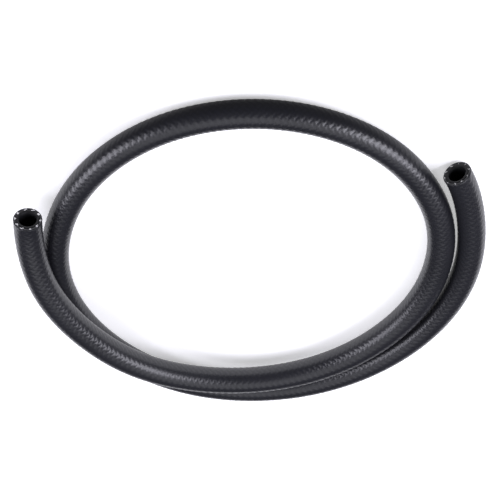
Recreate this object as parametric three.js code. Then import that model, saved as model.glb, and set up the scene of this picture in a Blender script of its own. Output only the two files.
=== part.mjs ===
// A length of reinforced rubber fuel hose, cut square at both ends and lying in a loose coil.
// Millimetres, +Z up. The origin is on the surface that the coil lies on, under the middle of it.
import * as THREE from 'three';
import { NURBSCurve } from 'three/addons/curves/NURBSCurve.js';

// Sizes through the wall, from the bore outwards
const boreDiameter = 7.94;
const innerTubeWall = 0.88;
const yarnLayerWall = 0.4;
const coverWall = 0.5;
const layerGap = 0.3;

// Length along the middle of the hose, and how finely the solids follow it
const hoseLength = 915;
const hoseSides = 12;
const hoseSteps = 64;

// The route of the hose's middle, as the pull points of a smooth curve from the raised end to the
// end on the floor. Each row holds x and y in millimetres, and how far the hose is lifted off the
// floor, in hose diameters: the first turn passes over the second and stays above it to its end.
const routePoints = [
  [97, -35, 0.8],
  [98, -25.5, 0.69],
  [98, 4, 1.1],
  [73.5, 45.5, 1.02],
  [45.5, 70, 0.8],
  [6, 81, 0.52],
  [-34, 73.5, 0.4],
  [-66, 50.5, 0.28],
  [-86.5, 17.5, 0.12],
  [-89, -27, 0],
  [-62, -69.5, 0],
  [-14, -90, 0],
  [38.5, -82.5, 0],
  [80, -46, 0],
  [95, 9, 0],
  [75.5, 59, 0],
  [31, 93.5, 0],
  [-29.5, 94.5, 0],
  [-81, 61, 0],
  [-107.5, 3.5, 0],
  [-96, -42, 0],
  [-89.5, -54, 0.12],
];
const curveDegree = 3;

// Radii of the three layers, each clear of the one inside it
const boreRadius = boreDiameter / 2;
const innerTubeRadius = boreRadius + innerTubeWall;
const yarnInnerRadius = innerTubeRadius + layerGap;
const yarnOuterRadius = yarnInnerRadius + yarnLayerWall;
const coverInnerRadius = yarnOuterRadius + layerGap;
const hoseRadius = coverInnerRadius + coverWall;

const coverRubber = new THREE.MeshStandardMaterial({ color: 0x17171a, roughness: 0.5, metalness: 0 });
const yarn = new THREE.MeshStandardMaterial({ color: 0xb9b8b4, roughness: 0.9, metalness: 0 });
const tubeRubber = new THREE.MeshStandardMaterial({ color: 0x0c0c0e, roughness: 0.4, metalness: 0 });

// Knots that make the curve start at the first point and end at the last one, with even spans between
function clampedKnots(pointCount) {
  const spans = pointCount - curveDegree;
  const knots = [];
  for (let k = -curveDegree; k <= spans + curveDegree; k += 1) {
    knots.push(THREE.MathUtils.clamp(k / spans, 0, 1));
  }
  return knots;
}

// The curve through the plan points enlarged by planScale, at the height that the lifts give
function curveAtScale(planScale) {
  const points = routePoints.map(([x, y, lift]) => (
    new THREE.Vector4(x * planScale, y * planScale, hoseRadius + lift * 2 * hoseRadius, 1)
  ));
  return new NURBSCurve(curveDegree, clampedKnots(points.length), points);
}

// The coil is drawn up or let out until the curve has the hose's length
function hoseCurve() {
  const drawnLength = curveAtScale(1).getLength();
  return curveAtScale(hoseLength / drawnLength);
}

function regularOutline(shape, radius) {
  for (let i = 0; i < hoseSides; i += 1) {
    const angle = (i / hoseSides) * 2 * Math.PI;
    const x = radius * Math.cos(angle);
    const y = radius * Math.sin(angle);
    if (i === 0) {
      shape.moveTo(x, y);
    } else {
      shape.lineTo(x, y);
    }
  }
  shape.closePath();
  return shape;
}

// One hollow layer of the hose, open at both ends
function layerAlong(curve, name, innerRadius, outerRadius, material) {
  const section = regularOutline(new THREE.Shape(), outerRadius);
  section.holes.push(regularOutline(new THREE.Path(), innerRadius));
  const geometry = new THREE.ExtrudeGeometry(section, { steps: hoseSteps, extrudePath: curve });
  const mesh = new THREE.Mesh(geometry, material);
  mesh.name = name;
  return mesh;
}

const curve = hoseCurve();
const hose = new THREE.Group();
hose.add(
  layerAlong(curve, 'outer_cover', coverInnerRadius, hoseRadius, coverRubber),
  layerAlong(curve, 'yarn_reinforcement', yarnInnerRadius, yarnOuterRadius, yarn),
  layerAlong(curve, 'inner_tube', boreRadius, innerTubeRadius, tubeRubber),
);

// The group is moved along the floor until the origin lies under the middle of the coil
const middle = new THREE.Box3().setFromObject(hose).getCenter(new THREE.Vector3());
hose.position.set(-middle.x, -middle.y, 0);

export default hose;
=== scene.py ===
import math

import bpy
import numpy as np
from mathutils import Matrix, Vector


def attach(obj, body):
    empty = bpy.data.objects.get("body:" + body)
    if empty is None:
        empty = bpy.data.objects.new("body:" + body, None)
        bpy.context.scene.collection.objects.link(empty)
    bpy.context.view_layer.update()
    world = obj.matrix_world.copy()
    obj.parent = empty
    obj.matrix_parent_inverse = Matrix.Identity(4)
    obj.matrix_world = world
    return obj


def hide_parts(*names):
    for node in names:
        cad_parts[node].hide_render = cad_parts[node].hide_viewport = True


# A cut length of fuel hose in a loose coil. Metres, +Z up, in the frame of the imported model.
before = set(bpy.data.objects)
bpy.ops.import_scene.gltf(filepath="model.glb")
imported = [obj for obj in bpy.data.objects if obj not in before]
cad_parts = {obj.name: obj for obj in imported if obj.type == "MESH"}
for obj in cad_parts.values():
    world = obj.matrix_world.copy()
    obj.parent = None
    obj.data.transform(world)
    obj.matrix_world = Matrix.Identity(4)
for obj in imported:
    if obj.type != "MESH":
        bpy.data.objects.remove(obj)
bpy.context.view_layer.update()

MM = 0.001

# Sizes of the hose, and how far its cut edges are rounded
BORE_RADIUS = 3.97 * MM
OUTER_RADIUS = 6.35 * MM
HOSE_LENGTH = 0.915
COVER_EDGE = 0.12 * MM
BORE_EDGE = 0.1 * MM

# The route of the hose's middle: pull points of a smooth curve from the raised end to the floor end.
# x and y are in metres, and the lift off the floor is in hose diameters.
ROUTE_POINTS = [
    (0.097, -0.035, 0.8), (0.098, -0.0255, 0.69), (0.098, 0.004, 1.1), (0.0735, 0.0455, 1.02),
    (0.0455, 0.07, 0.8), (0.006, 0.081, 0.52), (-0.034, 0.0735, 0.4), (-0.066, 0.0505, 0.28),
    (-0.0865, 0.0175, 0.12), (-0.089, -0.027, 0), (-0.062, -0.0695, 0), (-0.014, -0.09, 0),
    (0.0385, -0.0825, 0), (0.08, -0.046, 0), (0.095, 0.009, 0), (0.0755, 0.059, 0),
    (0.031, 0.0935, 0), (-0.0295, 0.0945, 0), (-0.081, 0.061, 0), (-0.1075, 0.0035, 0),
    (-0.096, -0.042, 0), (-0.0895, -0.054, 0.12),
]
CURVE_DEGREE = 3

# Points taken on the curve: to measure its drawn length, along the hose, and of those for the cord
LENGTH_STEPS = 3000
ROUTE_STEPS = 6000

# The braid: yarns each way round, and the distance along the hose from one crossing to the next.
# Its impression in the cover fades out towards the cut ends.
YARNS_EACH_WAY = 10
CROSSING_PITCH = 3.0 * MM
YARN_RADIUS = 5.45 * MM
BRAID_RELIEF = 0.15 * MM
RELIEF_FADE = 1.5 * MM

# How full the yarns are at the raised and the floor end, where the cut crushed them. A whole yarn is 1.
THINNEST_AND_FULLEST = ((0.6, 0.0), (1.0, 0.8))

# How finely the meshes are made. The cover has whole steps for each crossing, so that none differ.
STEPS_EACH_CROSSING = 5
WALL_RINGS = 180
TUBE_SIDES = 48
BORE_RINGS = 320

# The camera, and the size of the picture that its lens is worked out for
PICTURE_SIDE = 500
FOCAL_PIXELS = 1490.8
CAMERA_DISTANCE = 0.6854
CAMERA_ELEVATION = math.radians(45.0)
CAMERA_AIM = Vector((1.335 * MM, -2.697 * MM, 0.0))
SENSOR_WIDTH = 36.0
CLIP_NEAR = 0.01
CLIP_FAR = 50.0

# The floor glows evenly, and is shaded in front of the coil where the hose reflects it
FLOOR_REACH = 6.0
FLOOR_PALE = 0.9
FLOOR_GLOW = 0.42
SHADED_TO = -0.10
LIT_FROM = -0.05
SHADE = 0.12

# Each softbox: azimuth and elevation in degrees, distance, width and height, watts, colour
SOFTBOXES = {
    "softbox_right_of_picture": (-105, 43, 0.9, 0.55, 0.5, 8.2, (0.91, 0.90, 1.0)),
    "softbox_left_of_picture": (96, 38, 0.9, 0.5, 0.45, 5.8, (0.91, 0.90, 1.0)),
    "softbox_above": (0, 80, 1.1, 1.2, 1.0, 5.0, (0.95, 0.95, 1.0)),
}
WORLD_TINT = (0.84, 0.86, 1.0, 1.0)
WORLD_STRENGTH = 0.14
WORLD_PALE = (0.9, 0.9, 0.9, 1.0)


def make_camera():
    """The camera looks along +Y from above, turned over, so that the near side is at the top."""
    data = bpy.data.cameras.new("camera")
    data.sensor_width = SENSOR_WIDTH
    data.lens = FOCAL_PIXELS / PICTURE_SIDE * SENSOR_WIDTH
    data.clip_start = CLIP_NEAR
    data.clip_end = CLIP_FAR
    camera = bpy.data.objects.new("camera", data)
    bpy.context.scene.collection.objects.link(camera)
    toward_camera = Vector((0.0, -math.cos(CAMERA_ELEVATION), math.sin(CAMERA_ELEVATION)))
    picture_up = Vector((0.0, -math.sin(CAMERA_ELEVATION), -math.cos(CAMERA_ELEVATION)))
    picture_right = picture_up.cross(toward_camera)
    turn = Matrix((picture_right, picture_up, toward_camera)).transposed()
    camera.matrix_world = Matrix.Translation(CAMERA_AIM + toward_camera * CAMERA_DISTANCE) @ turn.to_4x4()
    bpy.context.scene.camera = camera


def spline_points(pull, count):
    """Points of the clamped B-spline of the pull points, even in its own parameter."""
    spans = len(pull) - CURVE_DEGREE
    knots = np.clip(np.arange(-CURVE_DEGREE, spans + CURVE_DEGREE + 1) / spans, 0.0, 1.0)
    out = []
    for at in np.linspace(0.0, 1.0, count):
        span = min(int(at * spans), spans - 1) + CURVE_DEGREE
        work = [pull[span - CURVE_DEGREE + k].copy() for k in range(CURVE_DEGREE + 1)]
        for level in range(1, CURVE_DEGREE + 1):
            for k in range(CURVE_DEGREE, level - 1, -1):
                low = knots[span - CURVE_DEGREE + k]
                high = knots[span + 1 + k - level]
                share = (at - low) / (high - low)
                work[k] = (1.0 - share) * work[k - 1] + share * work[k]
        out.append(work[CURVE_DEGREE])
    return np.array(out)


def path_length(points):
    return np.linalg.norm(np.diff(points, axis=0), axis=1).sum()


def hose_route():
    """The hose's middle line, dense and even, with the plan drawn up until it has the hose's length."""
    plan = np.array(ROUTE_POINTS, float)
    height = OUTER_RADIUS + plan[:, 2] * 2.0 * OUTER_RADIUS
    drawn = np.column_stack([plan[:, :2], height])
    scale = HOSE_LENGTH / path_length(spline_points(drawn, LENGTH_STEPS))
    pull = np.column_stack([plan[:, :2] * scale, height])
    line = spline_points(pull, ROUTE_STEPS)
    across = np.gradient(line, axis=0)
    across /= np.linalg.norm(across, axis=1, keepdims=True)
    reach = OUTER_RADIUS * np.sqrt(1.0 - across[:, :2] ** 2)
    low = (line[:, :2] - reach).min(axis=0)
    high = (line[:, :2] + reach).max(axis=0)
    line[:, :2] -= (low + high) / 2.0
    return line


class Route:
    """Places and directions along the hose, by distance from the raised end."""

    def __init__(self, line):
        steps = np.linalg.norm(np.diff(line, axis=0), axis=1)
        self.line = line
        self.at = np.concatenate([[0.0], np.cumsum(steps)])
        self.length = self.at[-1]
        heading = np.gradient(line, self.at, axis=0)
        self.heading = heading / np.linalg.norm(heading, axis=1, keepdims=True)

    def frame_at(self, distance):
        """Centre, side and up at each distance. Past an end the hose goes on straight."""
        held = np.clip(distance, 0.0, self.length)
        centre = np.stack([np.interp(held, self.at, self.line[:, k]) for k in range(3)], axis=1)
        heading = np.stack([np.interp(held, self.at, self.heading[:, k]) for k in range(3)], axis=1)
        heading /= np.linalg.norm(heading, axis=1, keepdims=True)
        centre = centre + heading * (distance - held)[:, None]
        side = np.cross(heading, np.array([0.0, 0.0, 1.0]))
        side /= np.linalg.norm(side, axis=1, keepdims=True)
        up = np.cross(side, heading)
        return centre, side, up


def braid_height(along, angle):
    """Height of the braid's impression from 0 to 1: two families of ridges, over and under in turn."""
    turns = YARNS_EACH_WAY * angle / (2.0 * math.pi)
    one = along / CROSSING_PITCH + turns
    other = along / CROSSING_PITCH - turns
    over = 0.5 + 0.5 * np.cos(math.pi * one) * np.cos(math.pi * other)
    return over * np.cos(math.pi * one) ** 2 + (1.0 - over) * np.cos(math.pi * other) ** 2


def new_object(name, points, faces, material, smooth=True):
    mesh = bpy.data.meshes.new(name)
    mesh.from_pydata([tuple(p) for p in points], [], faces)
    mesh.materials.append(material)
    if smooth:
        mesh.shade_smooth()
    piece = bpy.data.objects.new(name, mesh)
    bpy.context.scene.collection.objects.link(piece)
    return piece


def lathe_along(name, route, rings, sides, material):
    """A closed tube wall from rings of (distance, radius or function of angle), each joined to the next.

    The rings go along the outside first and come back along the inside, and the faces look outwards.
    """
    angle = np.linspace(0.0, 2.0 * math.pi, sides, endpoint=False)
    distance = np.array([ring[0] for ring in rings])
    centre, side, up = route.frame_at(distance)
    radius = np.stack([ring[1](angle) if callable(ring[1]) else np.full(sides, ring[1]) for ring in rings])
    points = (centre[:, None] + radius[..., None] * (
        side[:, None] * np.cos(angle)[None, :, None] + up[:, None] * np.sin(angle)[None, :, None]))
    count = len(rings)
    faces = []
    for row in range(count):
        below = row * sides
        above = ((row + 1) % count) * sides
        for k in range(sides):
            after = (k + 1) % sides
            faces.append((below + k, above + k, above + after, below + after))
    piece = new_object(name, points.reshape(-1, 3), faces, material)
    layer = piece.data.uv_layers.new(name="along_and_round")
    lengths = np.concatenate([distance, distance[:1]])
    uv = np.empty((count, sides, 4, 2))
    turns = np.arange(sides + 1) / sides
    uv[:, :, 0, 0] = uv[:, :, 3, 0] = lengths[:-1, None]
    uv[:, :, 1, 0] = uv[:, :, 2, 0] = lengths[1:, None]
    uv[:, :, 0, 1] = uv[:, :, 1, 1] = turns[:-1]
    uv[:, :, 2, 1] = uv[:, :, 3, 1] = turns[1:]
    layer.data.foreach_set("uv", uv.ravel())
    return piece


class Nodes:
    """Short calls for a material's nodes."""

    def __init__(self, name):
        self.material = bpy.data.materials.new(name)
        self.material.use_nodes = True
        self.tree = self.material.node_tree
        self.shader = self.tree.nodes["Principled BSDF"]

    def add(self, kind, **settings):
        node = self.tree.nodes.new(kind)
        for key, value in settings.items():
            setattr(node, key, value)
        return node

    def join(self, source, target):
        self.tree.links.new(source, target)

    def feed(self, value, socket):
        if isinstance(value, (int, float)):
            socket.default_value = value
        else:
            self.join(value, socket)

    def math(self, operation, first, second=0.0):
        node = self.add("ShaderNodeMath", operation=operation)
        self.feed(first, node.inputs[0])
        self.feed(second, node.inputs[1])
        return node.outputs[0]

    def noise(self, scale, detail):
        node = self.add("ShaderNodeTexNoise")
        node.inputs["Scale"].default_value = scale
        node.inputs["Detail"].default_value = detail
        self.join(self.add("ShaderNodeTexCoord").outputs["Object"], node.inputs["Vector"])
        return node.outputs["Fac"]

    def between(self, factor, low, high):
        node = self.add("ShaderNodeMapRange")
        self.join(factor, node.inputs["Value"])
        node.inputs["To Min"].default_value = low
        node.inputs["To Max"].default_value = high
        return node.outputs["Result"]

    def blend(self, factor, first, second):
        node = self.add("ShaderNodeMix", data_type="RGBA")
        self.join(factor, node.inputs["Factor"])
        node.inputs["A"].default_value = (*first, 1.0)
        node.inputs["B"].default_value = (*second, 1.0)
        return node.outputs["Result"]

    def bump(self, height, distance, normal=None, invert=False):
        node = self.add("ShaderNodeBump", invert=invert)
        node.inputs["Strength"].default_value = 1.0
        node.inputs["Distance"].default_value = distance
        self.join(height, node.inputs["Height"])
        if normal is not None:
            self.join(normal, node.inputs["Normal"])
        return node.outputs["Normal"]


def braid_height_nodes(nodes):
    """The same height as braid_height, from the piece's own coordinates along and round the hose."""
    place = nodes.add("ShaderNodeSeparateXYZ")
    nodes.join(nodes.add("ShaderNodeUVMap", uv_map="along_and_round").outputs["UV"], place.inputs[0])
    along = nodes.math("DIVIDE", place.outputs["X"], CROSSING_PITCH)
    turns = nodes.math("MULTIPLY", place.outputs["Y"], YARNS_EACH_WAY)
    one = nodes.math("MULTIPLY", nodes.math("ADD", along, turns), math.pi)
    other = nodes.math("MULTIPLY", nodes.math("SUBTRACT", along, turns), math.pi)
    cos_one = nodes.math("COSINE", one)
    cos_other = nodes.math("COSINE", other)
    over = nodes.math("MULTIPLY_ADD", nodes.math("MULTIPLY", cos_one, cos_other), 0.5)
    over.node.inputs[2].default_value = 0.5
    under = nodes.math("SUBTRACT", 1.0, over)
    first = nodes.math("MULTIPLY", over, nodes.math("MULTIPLY", cos_one, cos_one))
    second = nodes.math("MULTIPLY", under, nodes.math("MULTIPLY", cos_other, cos_other))
    return nodes.math("ADD", first, second)


def cover_rubber():
    """Charcoal rubber with a satin skin, the braid showing through it and a fine cloth grain. Its colour
    has painted shade, darker in the braid's valleys.

    The braid's bump is sunk where the modelled relief is raised, and softens how that catches the light.
    """
    nodes = Nodes("cover_rubber")
    braid = braid_height_nodes(nodes)
    patches = nodes.noise(scale=55.0, detail=3.0)
    # The colour mixes random tone in patches with painted shade: darker in the braid's valleys, lighter on
    # its ridges.
    tone_and_valley_shade = nodes.math("MULTIPLY", nodes.math("ADD", patches, braid), 0.5)
    colour = nodes.blend(tone_and_valley_shade, first=(0.0050, 0.0052, 0.0070), second=(0.0128, 0.0129, 0.0170))
    nodes.join(colour, nodes.shader.inputs["Base Color"])
    polish = nodes.math("MULTIPLY", braid, -0.10)
    roughness = nodes.math("ADD", nodes.between(patches, low=0.36, high=0.43), polish)
    nodes.join(roughness, nodes.shader.inputs["Roughness"])
    nodes.shader.inputs["Specular IOR Level"].default_value = 0.5
    grain = nodes.bump(nodes.noise(scale=3500.0, detail=2.0), distance=0.012 * MM, invert=True)
    softened = nodes.bump(braid, distance=0.13 * MM, normal=grain, invert=True)
    nodes.join(softened, nodes.shader.inputs["Normal"])
    return nodes.material


def tube_rubber():
    """Blacker rubber with a dull skin, for the bore and the inner ring of the cut ends."""
    nodes = Nodes("tube_rubber")
    patches = nodes.noise(scale=400.0, detail=4.0)
    colour = nodes.blend(patches, first=(0.004, 0.004, 0.005), second=(0.010, 0.010, 0.011))
    nodes.join(colour, nodes.shader.inputs["Base Color"])
    nodes.join(nodes.between(patches, low=0.45, high=0.58), nodes.shader.inputs["Roughness"])
    nodes.shader.inputs["Specular IOR Level"].default_value = 0.25
    grain = nodes.bump(nodes.noise(scale=1800.0, detail=3.0), distance=0.02 * MM, invert=True)
    nodes.join(grain, nodes.shader.inputs["Normal"])
    return nodes.material


def yarn_fibre():
    """Pale matt yarn with fine strands."""
    nodes = Nodes("yarn")
    strands = nodes.noise(scale=2600.0, detail=3.0)
    colour = nodes.blend(strands, first=(0.60, 0.60, 0.60), second=(0.92, 0.91, 0.89))
    nodes.join(colour, nodes.shader.inputs["Base Color"])
    nodes.shader.inputs["Roughness"].default_value = 0.85
    nodes.join(nodes.bump(strands, distance=0.03 * MM), nodes.shader.inputs["Normal"])
    return nodes.material


def make_cover(route, material):
    """The outer rubber, with the braid's impression in its surface and rounded cut edges."""
    sides = STEPS_EACH_CROSSING * YARNS_EACH_WAY
    rows = STEPS_EACH_CROSSING * round(route.length / CROSSING_PITCH) + 1
    inner = YARN_RADIUS
    rings = []
    for distance in np.linspace(COVER_EDGE, route.length - COVER_EDGE, rows):
        near_end = min(distance, route.length - distance)
        depth = BRAID_RELIEF * min(1.0, near_end / RELIEF_FADE)

        def radius(angle, distance=distance, depth=depth):
            return OUTER_RADIUS - depth * (1.0 - braid_height(distance, angle))
        rings.append((distance, radius))
    rings.append((route.length, OUTER_RADIUS - COVER_EDGE))
    rings.append((route.length, (OUTER_RADIUS + inner) / 2.0))
    rings.append((route.length, inner))
    for distance in np.linspace(route.length, 0.0, WALL_RINGS)[1:]:
        rings.append((distance, inner))
    rings.append((0.0, (OUTER_RADIUS + inner) / 2.0))
    rings.append((0.0, OUTER_RADIUS - COVER_EDGE))
    return lathe_along("outer_cover_skin", route, rings, sides, material)


def make_inner_tube(route, material):
    """The smooth inner rubber, from the bore out to the yarns."""
    rings = [(d, YARN_RADIUS) for d in np.linspace(0.0, route.length, WALL_RINGS)]
    rings.append((route.length, (BORE_RADIUS + YARN_RADIUS) / 2.0))
    rings.append((route.length, BORE_RADIUS + BORE_EDGE))
    rings.extend((d, BORE_RADIUS) for d in np.linspace(route.length - BORE_EDGE, BORE_EDGE, BORE_RINGS))
    rings.append((0.0, BORE_RADIUS + BORE_EDGE))
    rings.append((0.0, (BORE_RADIUS + YARN_RADIUS) / 2.0))
    return lathe_along("inner_tube_wall", route, rings, TUBE_SIDES, material)


def make_yarns(route, material):
    """Two families of flat yarns wound opposite ways, with their cut ends just proud of the cut faces."""
    steps_each_turn = 12
    yarn_sides = 6
    proud = 0.06 * MM
    half_width = 0.46 * MM
    half_thickness = 0.26 * MM
    family_offset = 0.9 * half_thickness
    frayed_reach = 2.5 * MM
    most_wander = 0.12
    chance = np.random.default_rng(7)
    section_angles = np.linspace(0.0, 2.0 * math.pi, yarn_sides, endpoint=False)
    section = [(math.cos(a), math.sin(a)) for a in section_angles]
    turn_length = YARNS_EACH_WAY * CROSSING_PITCH
    steps = int(route.length / turn_length * steps_each_turn)
    distance = np.linspace(-proud, route.length + proud, steps + 1)
    centre, side, up = route.frame_at(distance)
    near = np.stack([distance, route.length - distance]).clip(0.0, frayed_reach) / frayed_reach
    points = []
    faces = []
    for hand in (1, -1):
        middle = YARN_RADIUS + hand * family_offset
        stretch = half_width / math.cos(math.atan(2.0 * math.pi * middle / turn_length))
        for yarn in range(YARNS_EACH_WAY):
            wander = chance.uniform(-most_wander, most_wander)
            full = chance.uniform(*THINNEST_AND_FULLEST)
            size = (full[:, None] + (1.0 - full[:, None]) * near).min(axis=0)
            angle = hand * 2.0 * math.pi * (distance / turn_length + (yarn + wander) / YARNS_EACH_WAY)
            out = side * np.cos(angle)[:, None] + up * np.sin(angle)[:, None]
            round_way = -side * np.sin(angle)[:, None] + up * np.cos(angle)[:, None]
            first = len(points)
            for row in range(steps + 1):
                for wide, thick in section:
                    points.append(centre[row] + out[row] * (middle + thick * half_thickness * size[row])
                                  + round_way[row] * wide * stretch * size[row])
            for row in range(steps):
                low = first + row * yarn_sides
                high = low + yarn_sides
                for k in range(yarn_sides):
                    after = (k + 1) % yarn_sides
                    faces.append((low + k, low + after, high + after, high + k))
            faces.append(tuple(first + k for k in reversed(range(yarn_sides))))
            faces.append(tuple(first + steps * yarn_sides + k for k in range(yarn_sides)))
    return new_object("yarn_braid", points, faces, material)


def make_floor():
    """A plain pale floor, which isn't part of the object. The hose sees its front part shaded."""
    nodes = Nodes("floor")
    place = nodes.add("ShaderNodeSeparateXYZ")
    nodes.join(nodes.add("ShaderNodeTexCoord").outputs["Object"], place.inputs[0])
    shade = nodes.add("ShaderNodeMapRange")
    nodes.join(place.outputs["Y"], shade.inputs["Value"])
    shade.inputs["From Min"].default_value = SHADED_TO
    shade.inputs["From Max"].default_value = LIT_FROM
    shade.inputs["To Min"].default_value = SHADE
    seen = nodes.add("ShaderNodeLightPath").outputs["Is Camera Ray"]
    level = nodes.math("MAXIMUM", seen, shade.outputs["Result"])
    nodes.join(nodes.math("MULTIPLY", level, FLOOR_PALE), nodes.shader.inputs["Base Color"])
    nodes.shader.inputs["Roughness"].default_value = 0.9
    nodes.shader.inputs["Specular IOR Level"].default_value = 0.0
    nodes.shader.inputs["Emission Color"].default_value = (1.0, 1.0, 1.0, 1.0)
    nodes.join(nodes.math("MULTIPLY", level, FLOOR_GLOW), nodes.shader.inputs["Emission Strength"])
    far = FLOOR_REACH
    corners = [(-far, -far, 0.0), (far, -far, 0.0), (far, far, 0.0), (-far, far, 0.0)]
    floor = new_object("floor", corners, [(0, 1, 2, 3)], nodes.material, smooth=False)


def add_softbox(name, azimuth, elevation, distance, width, height, power, colour):
    """A soft rectangular light that faces the coil. Azimuth 0 is +Y and 90 is +X."""
    turn = math.radians(azimuth)
    rise = math.radians(elevation)
    way = Vector((math.sin(turn) * math.cos(rise), math.cos(turn) * math.cos(rise), math.sin(rise)))
    data = bpy.data.lights.new(name, "AREA")
    data.shape = "RECTANGLE"
    data.size = width
    data.size_y = height
    data.energy = power
    data.color = colour
    light = bpy.data.objects.new(name, data)
    light.location = way * distance
    light.rotation_mode = "QUATERNION"
    light.rotation_quaternion = way.to_track_quat("Z", "Y")
    bpy.context.scene.collection.objects.link(light)


def make_lights():
    for name, settings in SOFTBOXES.items():
        add_softbox(name, *settings)


def make_world():
    """Dim all round, so that the rubber stays dark, and pale where the camera looks past the floor."""
    world = bpy.data.worlds.new("world")
    bpy.context.scene.world = world
    world.use_nodes = True
    tree = world.node_tree
    dim = tree.nodes["Background"]
    dim.inputs["Color"].default_value = WORLD_TINT
    dim.inputs["Strength"].default_value = WORLD_STRENGTH
    pale = tree.nodes.new("ShaderNodeBackground")
    pale.inputs["Color"].default_value = WORLD_PALE
    ray = tree.nodes.new("ShaderNodeLightPath")
    mix = tree.nodes.new("ShaderNodeMixShader")
    tree.links.new(ray.outputs["Is Camera Ray"], mix.inputs["Fac"])
    tree.links.new(dim.outputs[0], mix.inputs[1])
    tree.links.new(pale.outputs[0], mix.inputs[2])
    tree.links.new(mix.outputs[0], tree.nodes["World Output"].inputs["Surface"])


make_camera()
bpy.context.scene.view_settings.view_transform = "Standard"

route = Route(hose_route())
cover = make_cover(route, cover_rubber())
inner_tube = make_inner_tube(route, tube_rubber())
yarns = make_yarns(route, yarn_fibre())
for piece, node, slot in (
    (cover, "outer_cover", "cover_rubber"),
    (inner_tube, "inner_tube", "tube_rubber"),
    (yarns, "yarn_reinforcement", "yarn"),
):
    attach(piece, "root")
    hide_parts(node)

make_floor()
make_lights()
make_world()
